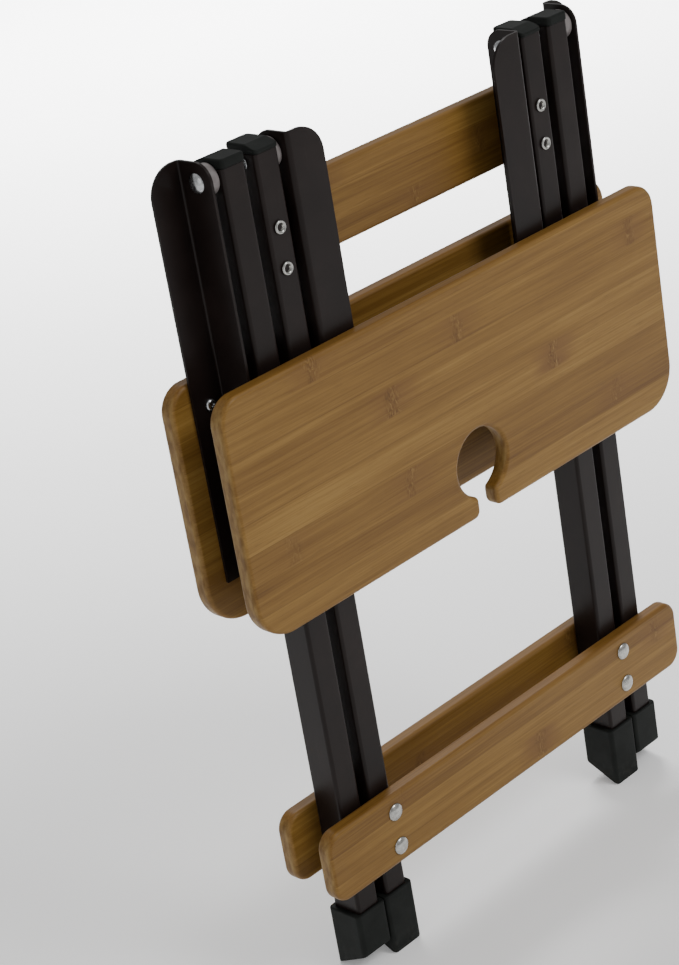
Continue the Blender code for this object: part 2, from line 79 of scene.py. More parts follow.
# -------------------------------------------------------------- node shorthand
class Graph:
    def __init__(self, name):
        self.mat = bpy.data.materials.new(name)
        self.mat.use_nodes = True
        self.t = self.mat.node_tree
        self.bsdf = self.t.nodes["Principled BSDF"]
        self.coord = self.t.nodes.new("ShaderNodeTexCoord")
        self.pos = self.coord.outputs["Object"]

    def put(self, socket, value):
        if isinstance(value, bpy.types.NodeSocket):
            self.t.links.new(value, socket)
        else:
            socket.default_value = value

    def add(self, kind, **inputs):
        n = self.t.nodes.new(kind)
        for k, v in inputs.items():
            self.put(n.inputs[k.replace("_", " ")], v)
        return n

    def math(self, op, a, b=None, c=None, clamp=False):
        n = self.t.nodes.new("ShaderNodeMath")
        n.operation = op
        n.use_clamp = clamp
        for i, v in enumerate((a, b, c)):
            if v is not None:
                self.put(n.inputs[i], v)
        return n.outputs[0]

    def xyz(self, vector):
        n = self.add("ShaderNodeSeparateXYZ", Vector=vector)
        return n.outputs[0], n.outputs[1], n.outputs[2]

    def stretch(self, sx, sy, sz, shift=(0, 0, 0)):
        n = self.add("ShaderNodeMapping", Vector=self.pos)
        n.inputs["Scale"].default_value = (sx, sy, sz)
        n.inputs["Location"].default_value = shift
        return n.outputs[0]

    def noise(self, vector, scale=1.0, detail=3.0, rough=0.55, distort=0.0):
        n = self.add("ShaderNodeTexNoise", Vector=vector, Scale=scale,
                     Detail=detail, Roughness=rough, Distortion=distort)
        return n.outputs["Fac"]

    def span(self, value, a, b, c=0.0, d=1.0, smooth=False):
        n = self.t.nodes.new("ShaderNodeMapRange")
        if smooth:
            n.interpolation_type = "SMOOTHSTEP"
        self.put(n.inputs["Value"], value)
        for k, v in (("From Min", a), ("From Max", b), ("To Min", c),
                     ("To Max", d)):
            n.inputs[k].default_value = v
        return n.outputs["Result"]

    def mix(self, fac, a, b, how="MIX"):
        n = self.t.nodes.new("ShaderNodeMix")
        n.data_type = "RGBA"
        n.blend_type = how
        self.put(n.inputs[0], fac)
        for i, v in ((6, a), (7, b)):
            if isinstance(v, tuple):
                v = (*v, 1.0)
            self.put(n.inputs[i], v)
        return n.outputs[2]

    def ramp(self, fac, stops):
        n = self.t.nodes.new("ShaderNodeValToRGB")
        self.put(n.inputs[0], fac)
        el = n.color_ramp.elements
        while len(el) < len(stops):
            el.new(0.5)
        for e, (p, c) in zip(el, stops):
            e.position = p
            e.color = (*c, 1.0)
        return n.outputs[0]

    def bump(self, height, strength, distance, normal=None):
        n = self.add("ShaderNodeBump", Height=height)
        n.inputs["Strength"].default_value = strength
        n.inputs["Distance"].default_value = distance
        if normal is not None:
            self.put(n.inputs["Normal"], normal)
        return n.outputs[0]

    def set(self, **inputs):
        for k, v in inputs.items():
            if isinstance(v, tuple):
                v = (*v, 1.0)
            self.put(self.bsdf.inputs[k.replace("_", " ")], v)


# ------------------------------------------------------------------- materials
def bamboo(name, strip, zoff, marks, seed, tone=1.0):
    """Flat-pressed bamboo strips along X, with the canes' nodes at marks:
    (x, z) in metres, and how strong."""
    g = Graph(name)
    x, y, z = g.xyz(g.pos)
    # strips
    s = g.math("DIVIDE", g.math("SUBTRACT", z, zoff), strip)
    index = g.math("FLOOR", s)
    within = g.math("FRACT", s)
    white = g.t.nodes.new("ShaderNodeTexWhiteNoise")
    white.noise_dimensions = "1D"
    g.put(white.inputs["W"], g.math("ADD", index, seed))
    lot = white.outputs["Value"]
    # each strip reads its own stretch of cane
    shift = g.add("ShaderNodeCombineXYZ", X=g.math("MULTIPLY", lot, 7.0),
                  Y=g.math("MULTIPLY", lot, 3.0), Z=0.0)
    base_pos = g.add("ShaderNodeVectorMath", **{})
    base_pos.operation = "ADD"
    g.put(base_pos.inputs[0], g.pos)
    g.put(base_pos.inputs[1], shift.outputs[0])
    own = base_pos.outputs[0]

    def stretched(sx, sy, sz, **kw):
        m = g.add("ShaderNodeMapping", Vector=own)
        m.inputs["Scale"].default_value = (sx, sy, sz)
        return g.noise(m.outputs[0], **kw)

    fine = stretched(11.0, 620.0, 760.0, detail=4.0, rough=0.65)
    medium = stretched(4.0, 160.0, 210.0, detail=3.0, rough=0.6)
    broad = stretched(5.0, 20.0, 26.0, detail=2.0)
    pores = stretched(70.0, 900.0, 1400.0, detail=2.0, rough=0.5)

    # cane nodes
    mask = halo = None
    rough_x = g.noise(g.stretch(60.0, 60.0, 130.0, (seed, 0, 0)), detail=2.0)
    wob = g.math("MULTIPLY_ADD", rough_x, 0.016, -0.008)
    wx = g.math("ADD", x, wob)
    for mx, mz, power in marks:
        du = g.math("ABSOLUTE", g.math("SUBTRACT", wx, mx))
        dv = g.math("ABSOLUTE", g.math("SUBTRACT", z, mz))
        near = g.span(du, 0.0010, 0.0085, power, 0.0, True)
        wide = g.span(du, 0.0060, 0.0300, power, 0.0, True)
        tall = g.span(dv, strip * 0.40, strip * 0.52, 1.0, 0.0, True)
        here = g.math("MULTIPLY", near, tall)
        mask = here if mask is None else g.math("MAXIMUM", mask, here)
        here = g.math("MULTIPLY", wide, tall)
        halo = here if halo is None else g.math("MAXIMUM", halo, here)
    scar = stretched(330.0, 200.0, 150.0, detail=3.0, rough=0.6, distort=1.6)

    value = g.math("MULTIPLY_ADD", medium, 0.50, 0.0)
    value = g.math("MULTIPLY_ADD", fine, 0.55, value)
    value = g.math("MULTIPLY_ADD", broad, 0.34, value)
    value = g.math("MULTIPLY_ADD", lot, 0.16, value)
    value = g.math("SUBTRACT", value, 0.25)
    value = g.math("MULTIPLY_ADD", value, 1.30, -0.15)

    def c(r, gg, b):
        return (r * tone * 0.735, gg * tone * 0.68, b * tone * 0.40)

    colour = g.ramp(value, [
        (0.22, c(0.165, 0.083, 0.027)),
        (0.42, c(0.232, 0.126, 0.044)),
        (0.60, c(0.296, 0.172, 0.066)),
        (0.82, c(0.385, 0.240, 0.105)),
    ])
    dark_pore = g.span(pores, 0.60, 0.74, 0.0, 0.30)
    colour = g.mix(dark_pore, colour, c(0.120, 0.056, 0.020))
    # glue lines between strips
    from_line = g.math("MINIMUM", within, g.math("SUBTRACT", 1.0, within))
    line = g.span(from_line, 0.004, 0.022, 0.34, 0.0, True)
    colour = g.mix(line, colour, c(0.130, 0.062, 0.022))
    # nodes: a browner patch with light and dark scars in it
    scar_colour = g.ramp(scar, [
        (0.34, c(0.095, 0.042, 0.018)),
        (0.47, c(0.185, 0.096, 0.042)),
        (0.56, c(0.230, 0.128, 0.060)),
        (0.68, c(0.420, 0.280, 0.150)),
    ])
    blotch = g.span(broad, 0.35, 0.65, 0.25, 0.75)
    colour = g.mix(g.math("MULTIPLY", halo, blotch), colour,
                   c(0.200, 0.098, 0.048))
    colour = g.mix(g.math("MULTIPLY", mask, 0.72), colour, scar_colour)
    # rounded edges took more stain; end grain more still
    nx, ny, nz = g.xyz(g.coord.outputs["Normal"])
    rim = g.span(g.math("ABSOLUTE", ny), 0.35, 0.97, 0.58, 0.0, True)
    ends = g.span(g.math("ABSOLUTE", nx), 0.45, 0.95, 0.0, 0.70, True)
    rim_colour = g.ramp(g.noise(g.stretch(16, 900, 900), detail=3), [
        (0.32, c(0.180, 0.082, 0.022)), (0.70, c(0.340, 0.185, 0.062))])
    colour = g.mix(rim, colour, rim_colour)
    grain_end = g.ramp(g.noise(g.stretch(260, 260, 90), detail=3), [
        (0.36, c(0.185, 0.105, 0.050)), (0.50, c(0.300, 0.195, 0.105)),
        (0.64, c(0.400, 0.285, 0.170))])
    colour = g.mix(ends, colour, grain_end)
    rough = g.math("MULTIPLY_ADD", fine, 0.16, 0.36)
    rough = g.math("MULTIPLY_ADD", mask, 0.05, rough)
    h = g.math("MULTIPLY_ADD", fine, 0.6, g.math("MULTIPLY", scar, mask))
    h = g.math("SUBTRACT", h, g.math("MULTIPLY", line, 1.2))
    h = g.math("SUBTRACT", h, dark_pore)
    g.set(Base_Color=colour, Roughness=rough,
          Normal=g.bump(h, 0.30, 0.00025))
    g.bsdf.inputs["Specular IOR Level"].default_value = 0.22
    g.bsdf.inputs["Coat Weight"].default_value = 0.03
    g.bsdf.inputs["Coat Roughness"].default_value = 0.38
    return g.mat


def paint():
    g = Graph("brown_powder_coat")
    cloud = g.noise(g.pos, 26.0, 4.0)
    colour = g.ramp(cloud, [(0.30, (0.0084, 0.0052, 0.0046)),
                            (0.55, (0.0118, 0.0074, 0.0065)),
                            (0.75, (0.0160, 0.0102, 0.0090))])
    # a few rubbed specks and faint lengthwise scuffs
    scuff = g.noise(g.stretch(900, 900, 22), detail=3.0, rough=0.6)
    dust = g.noise(g.pos, 620.0, 2.0, 0.5)
    marks = g.math("MULTIPLY", g.span(scuff, 0.64, 0.80, 0.0, 1.0),
                   g.span(cloud, 0.50, 0.66, 0.0, 0.55))
    marks = g.math("MAXIMUM", marks, g.span(dust, 0.73, 0.80, 0.0, 0.30))
    colour = g.mix(marks, colour, (0.034, 0.025, 0.022))
    rough = g.math("MULTIPLY_ADD", cloud, 0.16, 0.25)
    rough = g.math("MULTIPLY_ADD", marks, 0.14, rough)
    peel = g.noise(g.pos, 520.0, 2.0, 0.5)
    g.set(Base_Color=colour, Roughness=rough,
          Normal=g.bump(peel, 0.10, 0.0002))
    g.bsdf.inputs["Specular IOR Level"].default_value = 0.19
    return g.mat


def plastic():
    g = Graph("moulded_black_plastic")
    cloud = g.noise(g.pos, 60.0, 3.0)
    grain = g.noise(g.pos, 1500.0, 2.0, 0.6)
    colour = g.ramp(cloud, [(0.3, (0.0096, 0.0108, 0.0098)),
                            (0.7, (0.0150, 0.0168, 0.0154))])
    # floor dust held low on the feet
    x, y, z = g.xyz(g.pos)
    low = g.math("MULTIPLY", g.span(z, 0.002, 0.022, 0.30, 0.0, True),
                 g.span(g.noise(g.pos, 240.0, 3.0), 0.42, 0.68))
    colour = g.mix(low, colour, (0.045, 0.043, 0.039))
    g.set(Base_Color=colour,
          Roughness=g.math("MULTIPLY_ADD", grain, 0.20, 0.42),
          Normal=g.bump(grain, 0.22, 0.00015))
    g.bsdf.inputs["Specular IOR Level"].default_value = 0.08
    return g.mat


def nylon():
    g = Graph("grey_nylon_washer")
    cloud = g.noise(g.pos, 160.0, 3.0)
    x, y, z = g.xyz(g.pos)
    colour = g.ramp(cloud, [(0.3, (0.165, 0.145, 0.142)),
                            (0.7, (0.235, 0.212, 0.208))])
    fine = g.noise(g.pos, 1300.0, 2.0)
    g.set(Base_Color=colour,
          Roughness=g.math("MULTIPLY_ADD", fine, 0.18, 0.34),
          Normal=g.bump(fine, 0.18, 0.0001))
    return g.mat


def zinc(name, lo, hi):
    g = Graph(name)
    cloud = g.noise(g.pos, 420.0, 3.0)
    fine = g.noise(g.pos, 2400.0, 2.0)
    colour = g.ramp(cloud, [(0.30, lo), (0.70, hi)])
    g.set(Base_Color=colour,
          Roughness=g.math("MULTIPLY_ADD", cloud, 0.22, 0.14),
          Normal=g.bump(fine, 0.14, 0.0001))
    g.bsdf.inputs["Metallic"].default_value = 1.0
    return g.mat


STRIP = 0.0215
z0 = leaf_z - LEAF_H / 2


def row(k):
    """Height of the middle of the front leaf's strip k."""
    return z0 + STRIP * (k + 0.5)


WOOD = {
    "front_leaf": bamboo("bamboo_front_leaf", STRIP, z0, [
        (-0.1340, 0.4471, 0.75),
        (-0.0015, 0.4227, 0.75),
        (0.0894, 0.3685, 1.00),
        (0.1842, 0.4258, 0.80),
        (-0.0698, 0.3978, 1.00),
        (-0.0646, 0.3372, 0.70),
        (0.150, row(1), 0.50), (-0.175, row(2), 0.45),
    ], 3.0),
    "back_leaf": bamboo("bamboo_back_leaf", STRIP, z0 + 0.006, [
        (-0.120, row(4), 0.9), (0.060, row(2), 0.8), (0.010, row(6), 0.8),
        (-0.040, row(1), 0.7), (0.150, row(5), 0.8), (-0.180, row(1), 0.6),
    ], 11.0),
    "top_crossbar": bamboo("bamboo_top_crossbar", STRIP,
                           TOP_BAR_Z - 1.5 * STRIP, [
        (0.088, TOP_BAR_Z, 0.7), (-0.060, TOP_BAR_Z + STRIP, 0.6),
        (0.020, TOP_BAR_Z - STRIP, 0.6)], 23.0),
    "front_crossbar": bamboo("bamboo_front_crossbar", STRIP,
                             FRONT_BAR_Z - 1.5 * STRIP, [
        (0.025, FRONT_BAR_Z - 0.012, 0.85), (-0.118, FRONT_BAR_Z + STRIP, 0.4),
        (0.165, FRONT_BAR_Z + 0.012, 0.6)],
        31.0),
    "rear_crossbar": bamboo("bamboo_rear_crossbar", STRIP,
                            REAR_BAR_Z - 1.5 * STRIP, [
        (-0.060, REAR_BAR_Z, 0.7), (0.110, REAR_BAR_Z + STRIP, 0.6),
        (0.020, REAR_BAR_Z - STRIP, 0.6)], 47.0),
}
PAINT = paint()
PLASTIC = plastic()
NYLON = nylon()
STEEL = zinc("zinc_plated_steel", (0.36, 0.37, 0.38), (0.64, 0.65, 0.66))
DOMES = zinc("nickel_rivet_domes", (0.34, 0.335, 0.32), (0.56, 0.555, 0.53))


# -------------------------------------------------------------------- meshes
def place(name, bm, mat, body, sharp=40.0, bevel=0.0, segments=2,
          weigh=True):
    """A finished piece that stands for the CAD node of the same name."""
    bmesh.ops.remove_doubles(bm, verts=bm.verts, dist=1e-6)
    bmesh.ops.recalc_face_normals(bm, faces=bm.faces)
    if bevel:
        edges = [e for e in bm.edges
                 if len(e.link_faces) == 2 and e.calc_face_angle() > 1.0]
        bmesh.ops.bevel(bm, geom=edges, offset=bevel, segments=segments,
                        profile=0.5, affect="EDGES", clamp_overlap=True)
        bmesh.ops.remove_doubles(bm, verts=bm.verts, dist=1e-7)
    mesh = bpy.data.meshes.new(name + "_visual")
    bm.to_mesh(mesh)
    bm.free()
    mesh.shade_smooth()
    mesh.set_sharp_from_angle(angle=math.radians(sharp))
    mesh.materials.append(mat)
    obj = bpy.data.objects.new(name + "_visual", mesh)
    bpy.context.collection.objects.link(obj)
    if weigh:
        mod = obj.modifiers.new("even_shading", "WEIGHTED_NORMAL")
        mod.weight = 100
        mod.keep_sharp = True
    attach(obj, body)
    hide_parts(name)
    return obj


def rounded_rect(w, h, radii, steps):
    pts = []
    corners = ((-1, -1, 180), (1, -1, 270), (1, 1, 0), (-1, 1, 90))
    for (sx, sy, start), r in zip(corners, radii):
        cx, cy = sx * (w / 2 - r), sy * (h / 2 - r)
        for i in range(steps + 1):
            a = math.radians(start + 90.0 * i / steps)
            pts.append((cx + r * math.cos(a), cy + r * math.sin(a)))
    return pts


def offset_outline(pts, d):
    """The outline moved inwards by d, point for point."""
    n = len(pts)
    out = []
    for i in range(n):
        p, q, r = Vector(pts[i - 1]), Vector(pts[i]), Vector(pts[(i + 1) % n])
        a, b = (q - p).normalized(), (r - q).normalized()
        m = Vector((-(a.y + b.y), a.x + b.x))
        m.normalize()
        k = max(m.dot(Vector((-a.y, a.x))), 0.3)
        out.append(tuple(q + m * (d / k)))
    return out


def board(outline, y0, y1, dz, edge, segments=6):
    """Board in the XZ plane with quarter-round edges of radius edge."""
    bm = bmesh.new()
    levels = []
    for i in range(segments + 1):
        a = math.pi / 2 * i / segments
        levels.append((edge * (1 - math.sin(a)), y0 + edge * (1 - math.cos(a))))
    for i in range(segments + 1):
        a = math.pi / 2 * (1 - i / segments)
        levels.append((edge * (1 - math.sin(a)), y1 - edge * (1 - math.cos(a))))
    rings = []
    for d, y in levels:
        ring = offset_outline(outline, d)
        rings.append([bm.verts.new((px, y, pz + dz)) for px, pz in ring])
    n = len(outline)
    for a, b in zip(rings, rings[1:]):
        for i in range(n):
            j = (i + 1) % n
            bm.faces.new((a[i], a[j], b[j], b[i]))
    bm.faces.new(rings[0])
    bm.faces.new(rings[-1])
    return bm


def along(axis, u, v, t):
    return {"X": (t, u, v), "Y": (v, t, u), "Z": (u, v, t)}[axis]


def lathe(profile, axis, centre, steps=56):
    bm = bmesh.new()
    rings = []
    for r, t in profile:
        if r < 1e-9:
            rings.append([bm.verts.new(Vector(along(axis, 0, 0, t))
                                       + Vector(centre))])
            continue
        rings.append([bm.verts.new(Vector(along(
            axis, r * math.cos(2 * math.pi * (i + 0.5) / steps),
            r * math.sin(2 * math.pi * (i + 0.5) / steps), t))
            + Vector(centre)) for i in range(steps)])
    pairs = list(zip(rings, rings[1:]))
    if len(rings[0]) > 1:
        pairs.append((rings[-1], rings[0]))
    for a, b in pairs:
        for i in range(steps):
            j = (i + 1) % steps
            if len(a) == 1:
                bm.faces.new((a[0], b[i], b[j]))
            elif len(b) == 1:
                bm.faces.new((a[i], a[j], b[0]))
            else:
                bm.faces.new((a[i], a[j], b[j], b[i]))
    return bm


def curve(points, steps=4):
    """A smooth profile through (radius, position) points."""
    out = []
    n = len(points)
    for i in range(n - 1):
        p0, p1 = points[max(i - 1, 0)], points[i]
        p2, p3 = points[i + 1], points[min(i + 2, n - 1)]
        for k in range(steps):
            t = k / steps
            out.append(tuple(max(0.5 * (
                2 * b + (c - a) * t + (2 * a - 5 * b + 4 * c - d) * t * t
                + (3 * b - a - 3 * c + d) * t ** 3), 0 if m == 0 else -9)
                for m, (a, b, c, d) in enumerate(zip(p0, p1, p2, p3))))
    out.append(points[-1])
    return out


def loft(rings):
    bm = bmesh.new()
    vr = [[bm.verts.new(p) for p in ring] for ring in rings]
    n = len(vr[0])
    for a, b in zip(vr, vr[1:]):
        for i in range(n):
            j = (i + 1) % n
            bm.faces.new((a[i], a[j], b[j], b[i]))
    bm.faces.new(vr[0])
    bm.faces.new(vr[-1])
    return bm


def tube_ring(x, wide, deep, radius, z_of_y, steps=8):
    return [(x + px, py, z_of_y(py))
            for px, py in rounded_rect(wide, deep, [radius] * 4, steps)]


# -------------------------------------------------------------------- leaves
LEAF_CORNERS = [LEAF_R_OUTER, LEAF_R_OUTER, LEAF_R_INNER, LEAF_R_INNER]


def notch_outline(steps=20):
    pts = rounded_rect(LEAF_W, LEAF_H, LEAF_CORNERS, steps)
    half = NOTCH_NECK / 2
    base = -LEAF_H / 2
    cz = base + NOTCH_UP
    lip, sh = NOTCH_LIP, NOTCH_SHOULDER
    reach = math.sqrt((NOTCH_R + sh) ** 2 - (half + sh) ** 2)
    lean = math.atan2(half + sh, reach)
    left = []
    for i in range(13):
        a = math.radians(90.0 * i / 12)
        left.append((-half - lip + lip * math.sin(a),
                     base + lip - lip * math.cos(a)))
    for i in range(11):
        a = (math.pi / 2 - lean) * i / 10
        left.append((-half - sh + sh * math.cos(a),
                     cz - reach + sh * math.sin(a)))
    turns = 72
    hole = []
    start = -math.pi / 2 - lean
    for i in range(1, turns):
        a = start - (2 * math.pi - 2 * lean) * i / turns
        hole.append((NOTCH_R * math.cos(a), cz + NOTCH_R * math.sin(a)))
    notch = left + hole + [(-x, z) for x, z in reversed(left)]
    notch = [(x + NOTCH_X, z) for x, z in notch]
    return pts[:steps + 1] + notch + pts[steps + 1:]


place("front_leaf", board(notch_outline(), -leaf_out, -leaf_in, leaf_z,
                          LEAF_EDGE),
      WOOD["front_leaf"], "front_leaf_assembly")
place("back_leaf", board(rounded_rect(LEAF_W, LEAF_H, LEAF_CORNERS, 20),
                         leaf_in, leaf_out, leaf_z, LEAF_EDGE),
      WOOD["back_leaf"], "back_leaf_assembly")


def crossbar(name, half, z, y_sign, body):
    a = y_sign * (TUBE_Y / 2 + GAP)
    b = y_sign * (TUBE_Y / 2 + GAP + BAR_T)
    place(name, board(rounded_rect(2 * half, BAR_H, [BAR_CORNER] * 4, 16),
                      min(a, b), max(a, b), z, BAR_EDGE),
          WOOD[name], body)


crossbar("front_crossbar", LOW_BAR_HALF, FRONT_BAR_Z, -1, "inner_frame")
crossbar("top_crossbar", TOP_BAR_HALF, TOP_BAR_Z, 1, "inner_frame")
crossbar("rear_crossbar", LOW_BAR_HALF, REAR_BAR_Z, 1, "outer_frame")


# --------------------------------------------------------------- angle rails
def rail(name, web_x, turn, face_sign, flange, body):
    stations = []

    def drop(s, length, radius):
        over = s - (length - radius)
        if over <= 0:
            return RAIL_TOP
        return RAIL_TOP - radius + math.sqrt(max(radius ** 2 - over ** 2, 0))

    face = face_sign * RAIL_FACE
    inward = -face_sign
    n = 20
    for i in range(n + 1):
        a = math.pi / 2 * i / n
        s = RAIL_WEB - RAIL_WEB_R + RAIL_WEB_R * math.cos(a)
        stations.append(((web_x, face + inward * s),
                         (web_x + turn * RAIL_T, face + inward * s),
                         drop(s, RAIL_WEB, RAIL_WEB_R)))
    for i in range(9):
        a = math.pi / 2 * i / 8
        cx, cy = web_x + turn * BEND, face + inward * BEND
        r = BEND - RAIL_T
        stations.append(((cx - turn * BEND * math.cos(a),
                          cy - inward * BEND * math.sin(a)),
                         (cx - turn * r * math.cos(a),
                          cy - inward * r * math.sin(a)), RAIL_TOP))
    for i in range(n + 1):
        a = math.pi / 2 * (1 - i / n)
        s = flange - RAIL_FLANGE_R + RAIL_FLANGE_R * math.cos(a)
        stations.append(((web_x + turn * s, face),
                         (web_x + turn * s, face + inward * RAIL_T),
                         drop(s, flange, RAIL_FLANGE_R)))
    bm = bmesh.new()
    low = PIVOT_Z - RAIL_END
    cols = [[bm.verts.new((*o, low)), bm.verts.new((*o, PIVOT_Z + t)),
             bm.verts.new((*i, PIVOT_Z + t)), bm.verts.new((*i, low))]
            for o, i, t in stations]
    for a, b in zip(cols, cols[1:]):
        for i in range(4):
            j = (i + 1) % 4
            bm.faces.new((a[i], a[j], b[j], b[i]))
    bm.faces.new(cols[0])
    bm.faces.new(cols[-1])
    place(name, bm, PAINT, body, 40, 0.0005, 3)


for side, s in SIDES:
    rail("front_leaf_rail_" + side, s * INNER_WEB_X, -s, -1,
         INNER_FLANGE, "front_leaf_assembly")
    rail("back_leaf_rail_" + side, s * OUTER_WEB_X, s, 1,
         OUTER_FLANGE, "back_leaf_assembly")


# ---------------------------------------------------------- legs, caps, feet
def tube_end():
    return PIVOT_Z + TUBE_TOP


def leg(name, x, lean, body):
    bm = loft([tube_ring(x, TUBE_X, TUBE_Y, TUBE_R, lambda y: TUBE_BOTTOM),
               tube_ring(x, TUBE_X, TUBE_Y, TUBE_R,
                         lambda y: tube_end())])
    place(name, bm, PAINT, body, 40, 0.0003, 2)


def cap(name, x, lean, body):
    seat = tube_end() + GAP

    def level(h):
        return lambda y: seat + h

    rings = [tube_ring(x, CAP_X - 0.0008, CAP_Y - 0.0008, 0.0026, level(0.0)),
             tube_ring(x, CAP_X - 0.0002, CAP_Y - 0.0002, 0.0029,
                       level(0.0002)),
             tube_ring(x, CAP_X, CAP_Y, 0.0030, level(0.0005))]
    r = 0.0016
    for i in range(7):
        a = math.pi / 2 * i / 6
        d = 2 * r * (1 - math.cos(a))
        rings.append(tube_ring(x, CAP_X - d, CAP_Y - d,
                               0.0030 - 0.3 * d, level(CAP_T - r + r * math.sin(a))))
    bm = loft(rings)
    out = bmesh.ops.bisect_plane(
        bm, geom=bm.verts[:] + bm.edges[:] + bm.faces[:], dist=1e-7,
        plane_co=(x, -lean * (CAP_Y / 2 - CAP_RUN), seat + CAP_T),
        plane_no=(0, -lean * CAP_DROP, CAP_RUN), clear_outer=True)
    bmesh.ops.contextual_create(bm, geom=[
        g for g in out["geom_cut"] if isinstance(g, bmesh.types.BMEdge)])
    crease = [e for e in bm.edges if len(e.link_faces) == 2
              and 0.15 < e.calc_face_angle() and all(
                  v.co.z > seat + CAP_T - CAP_DROP - 0.0006 for v in e.verts)
              and any(len(f.verts) > 12 for f in e.link_faces)]
    bmesh.ops.bevel(bm, geom=crease, offset=0.0007, segments=3,
                    profile=0.5, affect="EDGES", clamp_overlap=True)
    place(name, bm, PLASTIC, body, 40)


def foot(name, x, lean, body):
    def under(y):
        return FOOT_SLOPE * (FOOT_Y / 2 + lean * y)

    def flat(z):
        return lambda y: z

    def lift(h):
        return lambda y: under(y) + h

    rings = [tube_ring(x, FOOT_X - 0.0012, FOOT_Y - 0.0010, 0.0030, under),
             tube_ring(x, FOOT_X - 0.0004, FOOT_Y - 0.0003, 0.0033,
                       lift(0.0003)),
             tube_ring(x, FOOT_X, FOOT_Y, 0.0034, lift(0.0009))]
    r = 0.0012
    for i in range(6):
        a = math.pi / 2 * i / 5
        d = 2 * r * (1 - math.cos(a))
        rings.append(tube_ring(x, FOOT_X - d, FOOT_Y - d, 0.0034 - 0.3 * d,
                               flat(FOOT_TOP - r + r * math.sin(a))))
    px, py = TUBE_X + 2 * GAP, TUBE_Y + 2 * GAP
    rings.append(tube_ring(x, px, py, TUBE_R + GAP, flat(FOOT_TOP)))
    rings.append(tube_ring(x, px, py, TUBE_R + GAP, flat(FOOT_FLOOR)))
    place(name, loft(rings), PLASTIC, body, 40)


for side, s in SIDES:
    leg("outer_leg_" + side, s * OUTER_X, -1, "outer_frame")
    leg("inner_leg_" + side, s * INNER_X, 1, "inner_frame")
    cap("outer_leg_cap_" + side, s * OUTER_X, -1, "outer_frame")
    cap("inner_leg_cap_" + side, s * INNER_X, 1, "inner_frame")
    foot("outer_foot_" + side, s * OUTER_X, -1, "outer_frame")
    foot("inner_foot_" + side, s * INNER_X, 1, "inner_frame")

# ----------------------------------------------------------------- fastenings
DOME = curve([(0, 0.0027), (0.0016, 0.00262), (0.0032, 0.0023),
              (0.0047, 0.0017), (0.0058, 0.0010), (0.0063, 0.0004),
              (0.0064, 0.0)])
RING = curve([(0.0043, 0.0), (0.0046, 0.0004), (0.0045, 0.0009),
              (0.0040, 0.0014), (0.0032, 0.0013), (0.0026, 0.0007),
              (0.0021, -0.0004), (0.0012, -0.0006), (0, -0.0003)])


def pair(z):
    return (z - RIVET_PITCH / 2, z + RIVET_PITCH / 2)


def rivet(name, x, z, y_sign, through, body):
    wood = y_sign * (TUBE_Y / 2 + GAP + BAR_T + GAP)
    profile = [(r, wood + y_sign * t) for r, t in DOME]
    profile.append((RIVET_SHANK_R, wood))
    if through:
        end = -y_sign * (TUBE_Y / 2 + GAP)
        profile.append((RIVET_SHANK_R, end))
        profile += [(r, end - y_sign * t) for r, t in RING]
    else:
        end = y_sign * (TUBE_Y / 2 - WALL - GAP)
        profile += [(r, end - y_sign * t) for r, t in (
            (RIVET_SHANK_R, 0.0), (0.0042, 0.0), (0.0042, 0.0008),
            (0.0030, 0.0016), (0, 0.0016))]
    place(name, lathe(profile, "Y", (x, 0, z)), DOMES, body,
          50, weigh=False)


for side, s in SIDES:
    for k, level in enumerate(("lower", "upper")):
        tail = "_" + side + "_" + level
        rivet("front_rivet" + tail, s * INNER_X, pair(FRONT_BAR_Z)[k], -1,
              False, "inner_frame")
        rivet("top_rivet" + tail, s * INNER_X, pair(TOP_BAR_Z)[k], 1,
              True, "inner_frame")
        rivet("rear_rivet" + tail, s * OUTER_X, pair(REAR_BAR_Z)[k], 1,
              False, "outer_frame")

HEAD = curve([(0, 0.0028), (0.0016, 0.00272), (0.0033, 0.0024),
              (0.0048, 0.0017), (0.0059, 0.0009), (0.0064, 0.0003),
              (0.0065, 0.0)])
TAIL = [(0.0048, 0.0), (0.0048, 0.0005), (0.0046, 0.0008), (0.0036, 0.0014),
        (0.0016, 0.0016), (0, 0.0016)]


def pivot(name, x_head, x_tail, z, body):
    d = 1 if x_head > x_tail else -1
    profile = [(r, x_head + d * (t + GAP)) for r, t in HEAD]
    profile += [(SHANK_R, x_head + d * GAP), (SHANK_R, x_tail - d * GAP)]
    profile += [(r, x_tail - d * (t + GAP)) for r, t in TAIL]
    place(name, lathe(profile, "X", (0, 0, z)), STEEL, body,
          50, weigh=False)


def spacer(name, x0, x1, z, body, radius=0.0102):
    lo, hi = min(x0, x1) + GAP, max(x0, x1) - GAP
    c = 0.0008
    profile = [(SHANK_R + GAP, lo), (radius - c, lo),
               (radius - 0.3 * c, lo + 0.3 * c), (radius, lo + c),
               (radius, hi - c), (radius - 0.3 * c, hi - 0.3 * c),
               (radius - c, hi), (SHANK_R + GAP, hi)]
    place(name, lathe(profile, "X", (0, 0, z), 64), NYLON, body,
          50)


def screw(name, x, z, y_sign, body):
    seat = y_sign * (RAIL_FACE - RAIL_T - GAP)
    tip = y_sign * (leaf_in + SCREW_IN)
    back = -y_sign
    profile = [(0, 0.0013), (0.0010, 0.0013), (0.0013, 0.0021),
               (0.0022, 0.0020), (0.0033, 0.0016), (0.0039, 0.0009),
               (0.0040, 0.0004), (0.0040, 0.0), (SCREW_R, 0.0)]
    profile = [(r, seat + back * t) for r, t in profile]
    profile += [(SCREW_R, tip + back * 0.0018), (0, tip)]
    place(name, lathe(profile, "Y", (x, 0, z), 40), STEEL, body,
          50, weigh=False)


